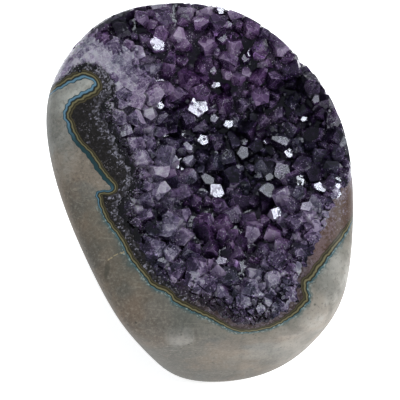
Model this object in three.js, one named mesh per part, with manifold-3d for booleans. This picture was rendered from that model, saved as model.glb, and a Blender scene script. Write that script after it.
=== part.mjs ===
// Amethyst druse: a piece of a geode wall, ground and polished all round, standing on a sawn base.
// Basalt outside, a thin banded agate lining, and one crust of amethyst crystals in an open hollow.
// Millimetres, +Z up. The origin is on the sawn base, and the druse looks up and towards -Y.
import * as THREE from 'three';
import { mergeVertices } from 'three/addons/utils/BufferGeometryUtils.js';
import Module from 'manifold-3d';

const wasm = await Module();
wasm.setup();

// The stone: an egg-shaped block with its long axis up the slope of the druse, ground on every side
const HEART = new THREE.Vector3(0, 0, 39);
const DRUSE_HEIGHT = 39;
const EGG_RADII = new THREE.Vector3(60.5, 79, 67);
const EGG_LEAN = 34;
const EGG_TURN = 24;
const EDGE_CRISPNESS = 12;
const GROUND_FACES = [
  { side: 'base', azimuth: 0, elevation: -90, distance: 39.5 },
  { side: 'druse', azimuth: 266, elevation: 58, distance: DRUSE_HEIGHT },
  { side: 'front', azimuth: 274, elevation: -11, distance: 54.5 },
  { side: 'left', azimuth: 188, elevation: -6, distance: 48.5 },
  { side: 'lower left', azimuth: 201, elevation: -19, distance: 40 },
  { side: 'front left', azimuth: 232, elevation: -28, distance: 56 },
  { side: 'front right', azimuth: 316, elevation: -24, distance: 59.5 },
  { side: 'right', azimuth: 356, elevation: -5, distance: 48.5 },
  { side: 'right back', azimuth: 12, elevation: 7, distance: 53.5 },
  { side: 'back right', azimuth: 48, elevation: 6, distance: 46.5 },
  { side: 'back', azimuth: 90, elevation: 6, distance: 47.5 },
  { side: 'back left', azimuth: 142, elevation: 7, distance: 62.5 },
];
const STONE_FACETS = 7;

// The druse is laid out on a sphere about the heart: x to the right and y up the slope from its pole
const LAYOUT_RADIUS = 50;

// Where basalt meets agate on the ground surface, from the basalt finger at the upper left, downwards
const AGATE_OUTLINE = [
  [-45.5, 28], [-41.4, 28.5], [-37.6, 30.3], [-34.3, 31.8], [-33, 31], [-35.4, 28.8], [-38.2, 26.8],
  [-40.3, 24.6], [-41.6, 21.3], [-41, 18.7], [-40.6, 16], [-39, 12.7], [-37, 10], [-35, 6], [-33.2, 3],
  [-30.8, -0.5], [-34.4, -1.3], [-34.2, -4.6], [-32.4, -9.4], [-30, -13.6], [-26, -18.7], [-22, -24.7],
  [-16.3, -30.2], [-13.5, -32.7], [-7.8, -34.9], [-6.5, -36.5], [-0.8, -38.6], [6.6, -40.8], [15.4, -43.9],
  [23.8, -41.3], [29.4, -36.5], [33.5, -31.3], [34.5, -29], [34, -26.5], [36, -24], [39.2, -19],
  [42.7, -13.6], [47.5, -6.8], [53, -1.5], [56.5, 9], [55, 22.5], [49.5, 35], [41, 45.5], [29, 54],
  [14.5, 59.5], [0, 61], [-15.5, 59.5], [-31, 54.5], [-43, 45.5], [-50.5, 37.5], [-52.5, 31.5],
  [-49.5, 28.8],
];

// Where agate meets the amethyst crust, in the same order
const CRUST_OUTLINE = [
  [-44.4, 31], [-39.3, 32.3], [-35.4, 33.8], [-31.7, 35], [-29.2, 34.4], [-28.2, 32], [-30, 28.6],
  [-32.7, 24.8], [-31.8, 21.3], [-30, 17.8], [-28.7, 13.3], [-26.5, 8.8], [-24.8, 4], [-26, -1.3],
  [-28.5, -6.2], [-26.4, -11.6], [-22.6, -17], [-18.8, -22.2], [-14.6, -27.4], [-10.3, -31], [-5.2, -33.6],
  [0.9, -36], [7, -38], [14.8, -40.6], [21.8, -39.2], [27, -35.2], [30.4, -31.2], [31.8, -28],
  [32.2, -24.6], [34.4, -20.6], [37.2, -15], [39.7, -8.4], [41.4, -2.6], [44, 3.5], [48.5, 8.5], [53, 14],
  [52, 22], [47, 33.5], [38.5, 43.5], [27.5, 51.5], [14, 57], [0, 58.5], [-15, 57], [-30, 52],
  [-41.5, 43], [-48, 36], [-49, 33],
];

// The hollow, and the layers under it, as depths below the ground surface
const HOLLOW_CENTRE = new THREE.Vector2(14, 18);
const HOLLOW_REACH = new THREE.Vector2(48, 52);
const HOLLOW_DEPTH = 15;
const HOLLOW_SLOPE = 16;
const RIM_DEPTH = 0.8;
const DEPTH_FOCUS = 60;
const CRUST_THICKNESS = 5;
const AGATE_THICKNESS = 2.5;
const CLEAR_ABOVE = 8;
const LAYER_REACH = 72;
const LAYER_RINGS = 10;
const LAYER_SPOKES = 20;
const CONTACT_GAP = 0.3;

// The crystals: six-sided points that stand shoulder to shoulder, larger in the hollow than at the rim
const CRYSTAL_PLACES = 172;
const FIELD_CENTRE = new THREE.Vector2(1, 11);
const FIELD_REACH = new THREE.Vector2(56, 58);
const CRYSTAL_RADIUS = { rim: 4.8, hollow: 6.2 };
const CRYSTAL_ROOT = 5;
const SHOULDER = { low: -0.35, high: 0.2 };
const SHOULDER_SLANT = 0.25;
const TIP_SHIFT = 0.25;
const CRYSTAL_LEAN = 22;
const POINT_STEEPNESS = 1.15;
const RIM_ZONE = 14;

const radians = THREE.MathUtils.degToRad;
const { clamp, lerp, smoothstep } = THREE.MathUtils;

// A repeatable number from 0 to 1 for crystal number `index` and property `kind`
function chance(index, kind) {
  const wave = Math.sin(index * 12.9898 + kind * 78.233) * 43758.5453;
  return wave - Math.floor(wave);
}

// A direction from its azimuth, 0 at +X and 90 at +Y, and its elevation
function direction(azimuth, elevation) {
  const level = Math.cos(radians(elevation));
  return new THREE.Vector3(
    level * Math.cos(radians(azimuth)), level * Math.sin(radians(azimuth)), Math.sin(radians(elevation)));
}

const drusePole = direction(GROUND_FACES[1].azimuth, GROUND_FACES[1].elevation);
const druseRight = new THREE.Vector3(0, 0, 1).cross(drusePole).normalize();
const druseUp = drusePole.clone().cross(druseRight);
const deepPoint = HEART.clone().addScaledVector(drusePole, -DEPTH_FOCUS);
const toEggAxes = new THREE.Matrix4()
  .makeRotationZ(radians(EGG_TURN))
  .multiply(new THREE.Matrix4().makeRotationX(radians(EGG_LEAN)))
  .invert();

// Distance from the heart to the ground surface, one rounded form trimmed softly by every ground face
function stoneRadius(unit) {
  let sum = unit.clone().applyMatrix4(toEggAxes).divide(EGG_RADII).length() ** EDGE_CRISPNESS;
  for (const { azimuth, elevation, distance } of GROUND_FACES) {
    sum += Math.max(0, unit.dot(direction(azimuth, elevation)) / distance) ** EDGE_CRISPNESS;
  }
  return sum ** (-1 / EDGE_CRISPNESS);
}

// The direction of a point of the layout
function layoutDirection(x, y) {
  const reach = Math.hypot(x, y);
  const angle = reach / LAYOUT_RADIUS;
  const across = reach > 0 ? Math.sin(angle) / reach : 0;
  return drusePole.clone().multiplyScalar(Math.cos(angle))
    .addScaledVector(druseRight, x * across)
    .addScaledVector(druseUp, y * across);
}

// A point of the layout at a depth under the ground surface; depth runs towards a point below the heart
function pointAt(x, y, depth) {
  const unit = layoutDirection(x, y);
  const surface = HEART.clone().addScaledVector(unit, stoneRadius(unit));
  const inwards = deepPoint.clone().sub(surface).normalize();
  return surface.addScaledVector(inwards, depth);
}

// The layout of a point of the ground surface from how far right and up the slope it lies from the pole
function layoutOf(right, up) {
  const reach = Math.hypot(right, up);
  let height = DRUSE_HEIGHT;
  let angle = 0;
  for (let round = 0; round < 6; round += 1) {
    angle = Math.atan2(reach, height);
    const toLayout = (angle * LAYOUT_RADIUS) / reach;
    height = stoneRadius(layoutDirection(right * toLayout, up * toLayout)) * Math.cos(angle);
  }
  return new THREE.Vector2(right, up).multiplyScalar((angle * LAYOUT_RADIUS) / reach);
}

// The same outline drawn in by a small distance
function drawnIn(outline, distance) {
  const count = outline.length;
  const turning = Math.sign(THREE.ShapeUtils.area(outline));
  return outline.map((point, i) => {
    const along = outline[(i + 1) % count].clone().sub(outline[(i + count - 1) % count]).normalize();
    return new THREE.Vector2(-along.y, along.x).multiplyScalar(turning * distance).add(point);
  });
}

// Distance inside an outline, negative outside it
function insideBy(outline, x, y) {
  let nearest = Infinity;
  let inside = false;
  for (let i = 0, j = outline.length - 1; i < outline.length; j = i, i += 1) {
    const a = outline[j];
    const b = outline[i];
    const edge = b.clone().sub(a);
    const along = clamp(((x - a.x) * edge.x + (y - a.y) * edge.y) / edge.lengthSq(), 0, 1);
    nearest = Math.min(nearest, Math.hypot(a.x + edge.x * along - x, a.y + edge.y * along - y));
    if ((a.y > y) !== (b.y > y) && x < a.x + (edge.x * (y - a.y)) / edge.y) {
      inside = !inside;
    }
  }
  return inside ? nearest : -nearest;
}

const agateOutline = AGATE_OUTLINE.map(([x, y]) => new THREE.Vector2(x, y));
const crustOutline = CRUST_OUTLINE.map(([x, y]) => new THREE.Vector2(x, y));

// Depth of the bed that the crystals stand on, shallow at the rim and deepest in the hollow
function bedDepth(x, y) {
  const fromCentre = Math.hypot((x - HOLLOW_CENTRE.x) / HOLLOW_REACH.x, (y - HOLLOW_CENTRE.y) / HOLLOW_REACH.y);
  const slope = smoothstep(insideBy(crustOutline, x, y), 0, HOLLOW_SLOPE);
  return RIM_DEPTH + HOLLOW_DEPTH * Math.max(0, 1 - fromCentre ** 2) * slope;
}

function crustFloor(x, y) {
  return bedDepth(x, y) + CRUST_THICKNESS;
}

function agateFloor(x, y) {
  return crustFloor(x, y) + AGATE_THICKNESS;
}

function asSolid(geometry) {
  geometry.deleteAttribute('normal');
  geometry.deleteAttribute('uv');
  const merged = mergeVertices(geometry, 1e-4);
  return new wasm.Manifold(new wasm.Mesh({
    numProp: 3,
    vertProperties: merged.attributes.position.array,
    triVerts: merged.index.array,
  }));
}

// Moves every corner of a geometry to the place that `move` gives it
function reshape(geometry, move) {
  const position = geometry.attributes.position;
  const corner = new THREE.Vector3();
  for (let i = 0; i < position.count; i += 1) {
    const moved = move(corner.fromBufferAttribute(position, i));
    position.setXYZ(i, moved.x, moved.y, moved.z);
  }
  return geometry;
}

function stone() {
  const ball = reshape(new THREE.IcosahedronGeometry(1, STONE_FACETS), (corner) => {
    const unit = corner.clone().normalize();
    return HEART.clone().addScaledVector(unit, stoneRadius(unit));
  });
  const cutDepth = 10;
  const sawnAway = new THREE.BoxGeometry(200, 200, cutDepth).translate(0, 0, -cutDepth / 2);
  return asSolid(ball).subtract(asSolid(sawnAway));
}

// Everything on the rays from the heart through an outline
function raysThrough(outline) {
  const near = 4;
  const far = 300;
  const prism = new THREE.ExtrudeGeometry(new THREE.Shape(outline), { depth: 1, bevelEnabled: false });
  return asSolid(reshape(prism, corner => HEART.clone().addScaledVector(
    layoutDirection(corner.x, corner.y), corner.z > 0.5 ? far : near)));
}

// Everything between two depths, over the whole druse; a depth may be a function of the place
function layer(topDepth, floorDepth) {
  const lens = new THREE.SphereGeometry(1, LAYER_SPOKES, LAYER_RINGS).rotateX(Math.PI / 2);
  return asSolid(reshape(lens, (corner) => {
    const fromPole = 1 - Math.abs(Math.asin(clamp(corner.z, -1, 1))) / (Math.PI / 2);
    const spoke = Math.atan2(corner.y, corner.x);
    const x = LAYER_REACH * fromPole * Math.cos(spoke);
    const y = LAYER_REACH * fromPole * Math.sin(spoke);
    return pointAt(x, y, corner.z >= -1e-6 ? topDepth(x, y) : floorDepth(x, y));
  }));
}

// One six-sided point, upright at the origin: uneven sides, a slanting shoulder and an off-centre tip
function crystalPoint(index, radius) {
  const shoulder = radius * lerp(SHOULDER.low, SHOULDER.high, chance(index, 1));
  const tip = shoulder + radius * POINT_STEEPNESS;
  const profile = [[0, -CRYSTAL_ROOT], [radius, -CRYSTAL_ROOT], [radius, shoulder], [0, tip]];
  const prism = new THREE.LatheGeometry(profile.map(([r, h]) => new THREE.Vector2(r, h)), 6);
  prism.rotateX(Math.PI / 2).rotateZ(chance(index, 2) * Math.PI);
  const squeeze = lerp(0.75, 1, chance(index, 3));
  const slant = lerp(-SHOULDER_SLANT, SHOULDER_SLANT, chance(index, 4));
  const shift = radius * lerp(-TIP_SHIFT, TIP_SHIFT, chance(index, 5));
  return reshape(prism, (corner) => {
    const atTip = Math.abs(corner.z - tip) < 1e-3;
    const atShoulder = Math.abs(corner.z - shoulder) < 1e-3;
    return new THREE.Vector3(
      corner.x + (atTip ? shift : 0),
      corner.y * squeeze,
      corner.z + (atShoulder ? slant * corner.x : 0));
  });
}

function placedCrystal(index, x, y) {
  const step = 0.5;
  const bed = (a, b) => pointAt(a, b, bedDepth(a, b));
  const across = bed(x + step, y).sub(bed(x - step, y));
  const upwards = bed(x, y + step).sub(bed(x, y - step));
  const growth = across.clone().cross(upwards).normalize();
  const leanAxis = across.normalize().applyAxisAngle(growth, chance(index, 6) * 2 * Math.PI);
  growth.applyAxisAngle(leanAxis, radians(CRYSTAL_LEAN) * chance(index, 7));
  const inHollow = clamp(insideBy(crustOutline, x, y) / RIM_ZONE, 0, 1);
  const radius = lerp(CRYSTAL_RADIUS.rim, CRYSTAL_RADIUS.hollow, inHollow) * lerp(0.75, 1.15, chance(index, 8));
  const turn = new THREE.Quaternion().setFromUnitVectors(new THREE.Vector3(0, 0, 1), growth);
  const place = new THREE.Matrix4().compose(bed(x, y), turn, new THREE.Vector3(1, 1, 1));
  return asSolid(crystalPoint(index, radius).applyMatrix4(place));
}

// Crystals over the crust on an even spiral, each nudged from its place
function crystals() {
  const goldenAngle = Math.PI * (3 - Math.sqrt(5));
  const grown = [];
  for (let index = 0; index < CRYSTAL_PLACES; index += 1) {
    const reach = Math.sqrt((index + 0.5) / CRYSTAL_PLACES);
    const right = FIELD_CENTRE.x + FIELD_REACH.x * reach * Math.cos(index * goldenAngle) + chance(index, 9);
    const up = FIELD_CENTRE.y + FIELD_REACH.y * reach * Math.sin(index * goldenAngle) + chance(index, 10);
    const { x, y } = layoutOf(right, up);
    if (insideBy(crustOutline, x, y) > 0.5) {
      grown.push(placedCrystal(index, x, y));
    }
  }
  return grown;
}

// The solid without the small sealed pockets between crystals and the slivers cut off at the ground surface
function outerBody(solid) {
  return solid.decompose().reduce((largest, body) => (body.volume() > largest.volume() ? body : largest));
}

const wholeStone = stone();
const above = () => -CLEAR_ABOVE;
const agateHole = raysThrough(agateOutline).intersect(layer(above, agateFloor));
const crustHole = raysThrough(crustOutline).intersect(layer(above, crustFloor));
const agateRoom = raysThrough(drawnIn(agateOutline, CONTACT_GAP))
  .intersect(layer(above, (x, y) => agateFloor(x, y) - CONTACT_GAP));
const crustRoom = raysThrough(drawnIn(crustOutline, CONTACT_GAP))
  .intersect(layer(above, (x, y) => crustFloor(x, y) - CONTACT_GAP));
const crustBed = layer(bedDepth, (x, y) => crustFloor(x, y) + CRUST_THICKNESS);

const basalt = wholeStone.subtract(agateHole);
const agate = wholeStone.intersect(agateRoom).subtract(crustHole);
const crust = outerBody(wasm.Manifold.union([crustBed, ...crystals()]).intersect(crustRoom).intersect(wholeStone));

function subPart(name, solid, colour, roughness) {
  const mesh = solid.getMesh();
  const geometry = new THREE.BufferGeometry();
  geometry.setAttribute('position', new THREE.BufferAttribute(mesh.vertProperties, 3));
  geometry.setIndex(new THREE.BufferAttribute(mesh.triVerts, 1));
  geometry.computeVertexNormals();
  const part = new THREE.Mesh(geometry, new THREE.MeshStandardMaterial({ color: colour, roughness, metalness: 0 }));
  part.name = name;
  return part;
}

const druse = new THREE.Group();
druse.add(subPart('basalt_matrix', basalt, '#969287', 0.4));
druse.add(subPart('agate_lining', agate, '#4d5148', 0.2));
druse.add(subPart('amethyst_crust', crust, '#4a3564', 0.1));

export default druse;
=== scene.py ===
"""The looks of an amethyst druse: polished basalt, a banded agate lining and one crust of amethyst points.

Lengths in the constants are millimetres unless their comment says metres. The finished meshes are metres.
"""
import math

import bmesh
import bpy
import numpy as np
from mathutils import Matrix, Vector
from mathutils.kdtree import KDTree


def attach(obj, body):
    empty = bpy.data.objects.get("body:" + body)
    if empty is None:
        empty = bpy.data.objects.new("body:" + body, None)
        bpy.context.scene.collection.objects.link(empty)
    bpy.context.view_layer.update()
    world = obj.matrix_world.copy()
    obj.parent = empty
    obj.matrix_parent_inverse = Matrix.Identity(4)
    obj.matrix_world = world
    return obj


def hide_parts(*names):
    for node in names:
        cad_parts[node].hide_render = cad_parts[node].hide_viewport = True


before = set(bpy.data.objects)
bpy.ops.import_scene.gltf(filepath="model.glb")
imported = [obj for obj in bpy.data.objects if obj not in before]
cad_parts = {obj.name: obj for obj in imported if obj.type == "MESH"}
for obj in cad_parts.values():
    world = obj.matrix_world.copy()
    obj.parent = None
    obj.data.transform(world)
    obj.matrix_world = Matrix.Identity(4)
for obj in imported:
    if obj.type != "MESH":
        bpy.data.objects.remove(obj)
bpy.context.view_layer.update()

bl_info = {
    "name": "Amethyst druse",
    "version": (1, 0, 0),
    "blender": (4, 5, 0),
    "location": "View3D > Sidebar > Druse",
    "description": "Polished basalt, a banded agate lining and a crust of amethyst points",
    "category": "Object",
}

MILLIMETRE = 0.001

# The stone: an egg-shaped block with its long axis up the slope of the druse, ground on every side
HEART = np.array((0.0, 0.0, 39.0))
DRUSE_POLE = (266, 58)
DRUSE_HEIGHT = 39
EGG_RADII = np.array((60.5, 79, 67))
EGG_LEAN = 34
EGG_TURN = 24
EDGE_CRISPNESS = 12
POLISH = 0.5
GROUND_FACES = {
    "base": (0, -90, 39.5),
    "druse": (*DRUSE_POLE, DRUSE_HEIGHT),
    "front": (274, -11, 54.5),
    "left": (188, -6, 48.5),
    "lower left": (201, -19, 40),
    "front left": (232, -28, 56),
    "front right": (316, -24, 59.5),
    "right": (356, -5, 48.5),
    "right back": (12, 7, 53.5),
    "back right": (48, 6, 46.5),
    "back": (90, 6, 47.5),
    "back left": (142, 7, 62.5),
}

# How often the round first shape of the stone is subdivided, once more for the agate, and the angle in
# degrees from which the edges of both are sharp
STONE_DETAIL = 7
LINING_DETAIL = 8
STONE_CREASE = 35

# The druse is laid out on a sphere about the heart: x to the right and y up the slope from its pole
LAYOUT_RADIUS = 50

# Where basalt meets agate on the ground surface, from the basalt finger at the upper left, downwards
AGATE_OUTLINE = (
    (-45.5, 28), (-41.4, 28.5), (-37.6, 30.3), (-34.3, 31.8), (-33, 31), (-35.4, 28.8), (-38.2, 26.8),
    (-40.3, 24.6), (-41.6, 21.3), (-41, 18.7), (-40.6, 16), (-39, 12.7), (-37, 10), (-35, 6), (-33.2, 3),
    (-30.8, -0.5), (-34.4, -1.3), (-34.2, -4.6), (-32.4, -9.4), (-30, -13.6), (-26, -18.7), (-22, -24.7),
    (-16.3, -30.2), (-13.5, -32.7), (-7.8, -34.9), (-6.5, -36.5), (-0.8, -38.6), (6.6, -40.8),
    (15.4, -43.9), (23.8, -41.3), (29.4, -36.5), (33.5, -31.3), (34.5, -29), (34, -26.5), (36, -24),
    (39.2, -19), (42.7, -13.6), (47.5, -6.8), (53, -1.5), (56.5, 9), (55, 22.5), (49.5, 35), (41, 45.5),
    (29, 54), (14.5, 59.5), (0, 61), (-15.5, 59.5), (-31, 54.5), (-43, 45.5), (-50.5, 37.5), (-52.5, 31.5),
    (-49.5, 28.8),
)

# Where agate meets the amethyst crust, in the same order
CRUST_OUTLINE = (
    (-44.4, 31), (-39.3, 32.3), (-35.4, 33.8), (-31.7, 35), (-29.2, 34.4), (-28.2, 32), (-30, 28.6),
    (-32.7, 24.8), (-31.8, 21.3), (-30, 17.8), (-28.7, 13.3), (-26.5, 8.8), (-24.8, 4), (-26, -1.3),
    (-28.5, -6.2), (-26.4, -11.6), (-22.6, -17), (-18.8, -22.2), (-14.6, -27.4), (-10.3, -31),
    (-5.2, -33.6), (0.9, -36), (7, -38), (14.8, -40.6), (21.8, -39.2), (27, -35.2), (30.4, -31.2),
    (31.8, -28), (32.2, -24.6), (34.4, -20.6), (37.2, -15), (39.7, -8.4), (41.4, -2.6), (44, 3.5),
    (48.5, 8.5), (53, 14), (52, 22), (47, 33.5), (38.5, 43.5), (27.5, 51.5), (14, 57), (0, 58.5), (-15, 57),
    (-30, 52), (-41.5, 43), (-48, 36), (-49, 33),
)

# The hollow under the ground surface: its centre and reach on the layout, how deep it is, and how far in
# from the rim it takes to get there
HOLLOW_CENTRE = (14, 18)
HOLLOW_REACH = (48, 52)
HOLLOW_DEPTH = 15
HOLLOW_SLOPE = 16

# The bed at the rim: its depth, from where to where inwards the rim ends, and how far it is lifted there;
# and how far the bed is sunk everywhere
RIM_DEPTH = 0.8
RIM_WIDTH = (0.3, 2.4)
RIM_LIFT = 1.3
BED_SINK = 0.6

# Where the crystals are cut through by the ground surface: centre and reach on the layout, and how far
# their bed is lifted there
CUT_PATCHES = (((-28, 37), (9, 5)), ((-38, 34.5), (9, 4)), ((-22, 34), (5, 5)))
CUT_LIFT = 3.2

# Depths are measured towards a point so far under the heart
DEPTH_FOCUS = 60

# Thickness of the crust under its bed and of the agate under the crust, how far a cutting body reaches
# above the ground surface and over the layout, and the gap between two pieces
CRUST_THICKNESS = 5
AGATE_THICKNESS = 2.5
CLEAR_ABOVE = 8
LAYER_REACH = 72
SEAM = 0.04

# How the druse looks from place to place: centre and reach on the layout, how pale the crystals are and
# how violet, their radius, and how far their bed is raised above the depth of the hollow. The paleness is
# partly the crystals' own colour and partly painted shade, darkest deep in the hollow.
ZONES = (
    ((-29, 37), (9, 6), 0.86, 0.22, 2.4, 0.6),
    ((-22, 35), (6, 6), 0.8, 0.3, 2.6, 0.6),
    ((-40, 35), (8, 5), 0.72, 0.25, 1.8, 0.5),
    ((-27, 45), (9, 3.5), 0.12, 0.8, 2.2, 0.5),
    ((-25, 27), (6, 6), 0.62, 0.45, 2.6, 1.0),
    ((-22, 19), (6, 6), 0.36, 0.45, 1.6, 1.0),
    ((-21, 8), (7, 6), 0.56, 0.4, 1.8, 1.0),
    ((-14, -5), (8, 8), 0.52, 0.3, 1.9, 1.0),
    ((-24, -8), (4, 5), 0.45, 0.2, 1.1, 0.5),
    ((-17, -18), (6, 6), 0.17, 0.4, 1.3, 0.6),
    ((-8, -20), (5, 6), 0.54, 0.25, 2.2, 1.2),
    ((-8, -26), (6, 4), 0.46, 0.35, 1.2, 0.5),
    ((3, -28), (7, 6), 0.42, 0.6, 1.4, 0.5),
    ((12, -33), (10, 4), 0.39, 0.3, 1.1, 0.5),
    ((17, -37), (12, 3), 0.38, 0.3, 0.9, 0.5),
    ((26, -29), (7, 5), 0.46, 0.3, 1.2, 0.5),
    ((33, -20), (5, 7), 0.46, 0.35, 1.3, 0.5),
    ((9, -14), (8, 7), 0.31, 1.0, 3.0, 1.8),
    ((22, -15), (8, 6), 0.33, 1.0, 2.6, 1.6),
    ((32, -9), (5, 5), 0.48, 0.4, 1.8, 1.2),
    ((39, -6), (4, 6), 0.67, 0.5, 1.4, 1.0),
    ((-3, -2), (5, 5), 0.42, 0.95, 2.8, 1.6),
    ((20, 17), (17, 11), 0.12, 0.25, 2.0, 1.5),
    ((2, 22), (9, 7), 0.12, 0.3, 2.0, 1.8),
    ((-10, 24), (5, 6), 0.2, 0.5, 2.2, 1.8),
    ((35, 14), (7, 8), 0.13, 0.4, 2.0, 1.5),
    ((6, 8), (8, 6), 0.2, 0.4, 1.8, 1.5),
    ((-13, 33), (6, 6), 0.23, 0.75, 2.4, 2.0),
    ((-8, 40), (8, 5), 0.26, 0.95, 3.0, 2.5),
    ((5, 42), (8, 5), 0.22, 0.95, 3.0, 2.4),
    ((14, 42), (6, 5), 0.32, 1.0, 3.4, 2.2),
    ((22, 44), (5, 3), 0.34, 0.9, 2.2, 1.8),
    ((27, 36), (8, 5), 0.02, 0.45, 2.0, 1.8),
    ((-10, 49), (10, 4), 0.38, 0.95, 3.2, 2.0),
    ((8, 50), (10, 4), 0.36, 0.85, 3.0, 2.0),
    ((18, 48), (6, 4), 0.38, 0.85, 2.6, 2.0),
    ((36, 33), (6, 6), 0.07, 0.65, 2.0, 1.8),
    ((43, 22), (4, 10), 0.27, 0.6, 2.0, 1.8),
)
FAR_FROM_ZONES = (0.3, 0.6, 2.0, 1.6)

# Smoky chalcedony darkens the crystals so far in from the basalt, and further next to the tip of the
# basalt finger: that tip on the layout, how much further, and how wide about it
SMOKE_REACH = 2.3
SMOKE_TIP = (-30, 31)
SMOKE_TIP_REACH = (3.4, 6.5)

# How much further the smoke reaches at the lower left, and where that begins and is full, downwards and
# to the left
SMOKE_LOW_LEFT = (1.6, (-2, -8), (0, -14))

# The brown band along the bottom: where it fades upwards, to the left and to the right on the layout, and
# how far in from the basalt
MAUVE_ENDS = ((-32, -27), (-14, 0), (28, 22))
MAUVE_REACH = (3.2, 8)

# How smoky the crystals are at their edge on the left flank, how much less so a millimetre inwards, and
# where on the layout that flank ends downwards and upwards
SMOKE_FLANK = (0.95, 0.4)
SMOKE_FLANK_ENDS = ((-27, -14), (31, 25))

# Crystals that stand out, each with its place in the 400-pixel view from the front, its radius, how pale
# it is, and the softbox that its largest face mirrors towards that view, if any
STANDING_OUT = (
    ((157, 43), 3.0, 0.5, "key"),
    ((197, 107), 3.6, 0.42, "key"),
    ((186, 122), 3.4, 0.36, None),
    ((220, 9), 1.7, 0.4, "key"),
    ((229, 24), 1.6, 0.4, "overhead"),
    ((222, 38), 2.0, 0.3, "overhead"),
    ((251, 53), 1.8, 0.2, "key"),
    ((245, 58), 1.8, 0.2, "overhead"),
    ((216, 85), 1.6, 0.3, "key"),
    ((213, 70), 1.7, 0.3, "overhead"),
    ((238, 78), 3.2, 0.4, None),
    ((160, 106), 1.6, 0.4, "key"),
    ((214, 118), 1.7, 0.3, "overhead"),
    ((229, 124), 2.2, 0.2, "key"),
    ((203, 140), 2.3, 0.2, "key"),
    ((188, 146), 2.0, 0.3, "overhead"),
    ((153, 140), 2.6, 0.55, None),
    ((216, 190), 2.8, 0.4, "key"),
    ((208, 179), 2.4, 0.35, "overhead"),
    ((244, 153), 2.5, 0.12, "overhead"),
    ((268, 141), 1.7, 0.4, "key"),
    ((289, 153), 1.9, 0.2, "key"),
    ((269, 177), 1.7, 0.3, "overhead"),
    ((251, 170), 1.8, 0.15, None),
    ((320, 187), 2.2, 0.5, "key"),
    ((316, 99), 1.9, 0.4, "overhead"),
    ((304, 119), 1.4, 0.3, "key"),
    ((279, 213), 2.9, 0.6, "key"),
    ((307, 206), 2.2, 0.6, "overhead"),
    ((328, 213), 1.9, 0.7, "key"),
    ((300, 249), 2.5, 0.75, "overhead"),
    ((188, 237), 3.7, 0.62, None),
    ((222, 261), 1.9, 0.6, "overhead"),
    ((265, 250), 3.0, 0.42, None),
    ((236, 232), 2.8, 0.4, None),
    ((176, 160), 2.6, 0.5, None),
    ((195, 200), 2.8, 0.4, None),
    ((139, 14), 3.0, 0.5, None),
    ((166, 11), 3.8, 0.42, None),
    ((196, 22), 3.6, 0.38, None),
    ((250, 30), 3.2, 0.42, None),
    ((278, 48), 3.0, 0.45, None),
    ((188, 44), 3.0, 0.36, None),
    ((168, 66), 3.0, 0.35, None),
    ((207, 216), 3.4, 0.36, None),
    ((212, 250), 3.4, 0.34, None),
    ((252, 215), 3.0, 0.36, None),
    ((181, 212), 3.2, 0.5, None),
    ((150, 216), 2.8, 0.5, None),
    ((250, 272), 2.6, 0.5, None),
    ((152, 110), 3.0, 0.55, None),
)

# The oval of the layout that crystals are tried in, how many are tried, how unequal they are in size, the
# largest radius, and the side of the cells that help to find a crystal's neighbours
FIELD_CENTRE = (1, 11)
FIELD_REACH = (59, 61)
TRIES = 90000
SIZE_SPREAD = 0.42
LARGEST_RADIUS = 4.2
CELL = 3.0
NEIGHBOURS = [(a, b, c) for a in range(-2, 3) for b in range(-2, 3) for c in range(-2, 3)]


def bearing(azimuth, elevation):
    """A direction from its azimuth, 0 at +X and 90 at +Y, and its elevation."""
    level = math.cos(math.radians(elevation))
    return np.array((
        level * math.cos(math.radians(azimuth)),
        level * math.sin(math.radians(azimuth)),
        math.sin(math.radians(elevation))))


POLE = bearing(*DRUSE_POLE)
RIGHT = np.cross((0, 0, 1), POLE) / np.linalg.norm(np.cross((0, 0, 1), POLE))
UP_SLOPE = np.cross(POLE, RIGHT)
DEEP_POINT = HEART - DEPTH_FOCUS * POLE
EGG_AXES = np.array(
    Matrix.Rotation(math.radians(EGG_TURN), 3, "Z") @ Matrix.Rotation(math.radians(EGG_LEAN), 3, "X"))


def smoothstep(value, low, high):
    share = np.clip((value - low) / (high - low), 0, 1)
    return share * share * (3 - 2 * share)


def stone_radius(units):
    """Distance from the heart to the ground surface, a rounded form trimmed softly by every ground face."""
    total = np.linalg.norm(units @ EGG_AXES / EGG_RADII, axis=1) ** EDGE_CRISPNESS
    for azimuth, elevation, distance in GROUND_FACES.values():
        total += np.maximum(0, units @ bearing(azimuth, elevation) / distance) ** EDGE_CRISPNESS
    return total ** (-1 / EDGE_CRISPNESS) - POLISH


def layout_direction(x, y):
    """The directions of points of the layout."""
    reach = np.maximum(np.hypot(x, y), 1e-9)
    across = np.sin(reach / LAYOUT_RADIUS) / reach
    return (np.outer(np.cos(reach / LAYOUT_RADIUS), POLE)
            + np.outer(x * across, RIGHT) + np.outer(y * across, UP_SLOPE))


def layout_place(points):
    """The layout x and y of points, seen from the heart."""
    units = points - HEART
    units = units / np.linalg.norm(units, axis=1)[:, None]
    angle = np.arccos(np.clip(units @ POLE, -1, 1))
    sideways = np.maximum(np.hypot(units @ RIGHT, units @ UP_SLOPE), 1e-9)
    stretch = LAYOUT_RADIUS * angle / sideways
    return units @ RIGHT * stretch, units @ UP_SLOPE * stretch


def point_at(x, y, depth):
    """Points of the layout at a depth under the ground surface."""
    units = layout_direction(x, y)
    surface = HEART + units * stone_radius(units)[:, None]
    inwards = DEEP_POINT - surface
    inwards /= np.linalg.norm(inwards, axis=1)[:, None]
    return surface + inwards * np.reshape(depth, (-1, 1))


def smooth_outline(points, steps):
    """A closed curve through the points, with so many steps from one to the next."""
    points = np.array(points, float)
    before, after = np.roll(points, 1, 0), np.roll(points, -1, 0)
    beyond = np.roll(points, -2, 0)
    curve = []
    for share in np.arange(steps) / steps:
        curve.append(0.5 * (
            2 * points + (after - before) * share
            + (2 * before - 5 * points + 4 * after - beyond) * share ** 2
            + (3 * points - before - 3 * after + beyond) * share ** 3))
    return np.stack(curve, 1).reshape(-1, 2)


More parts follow.
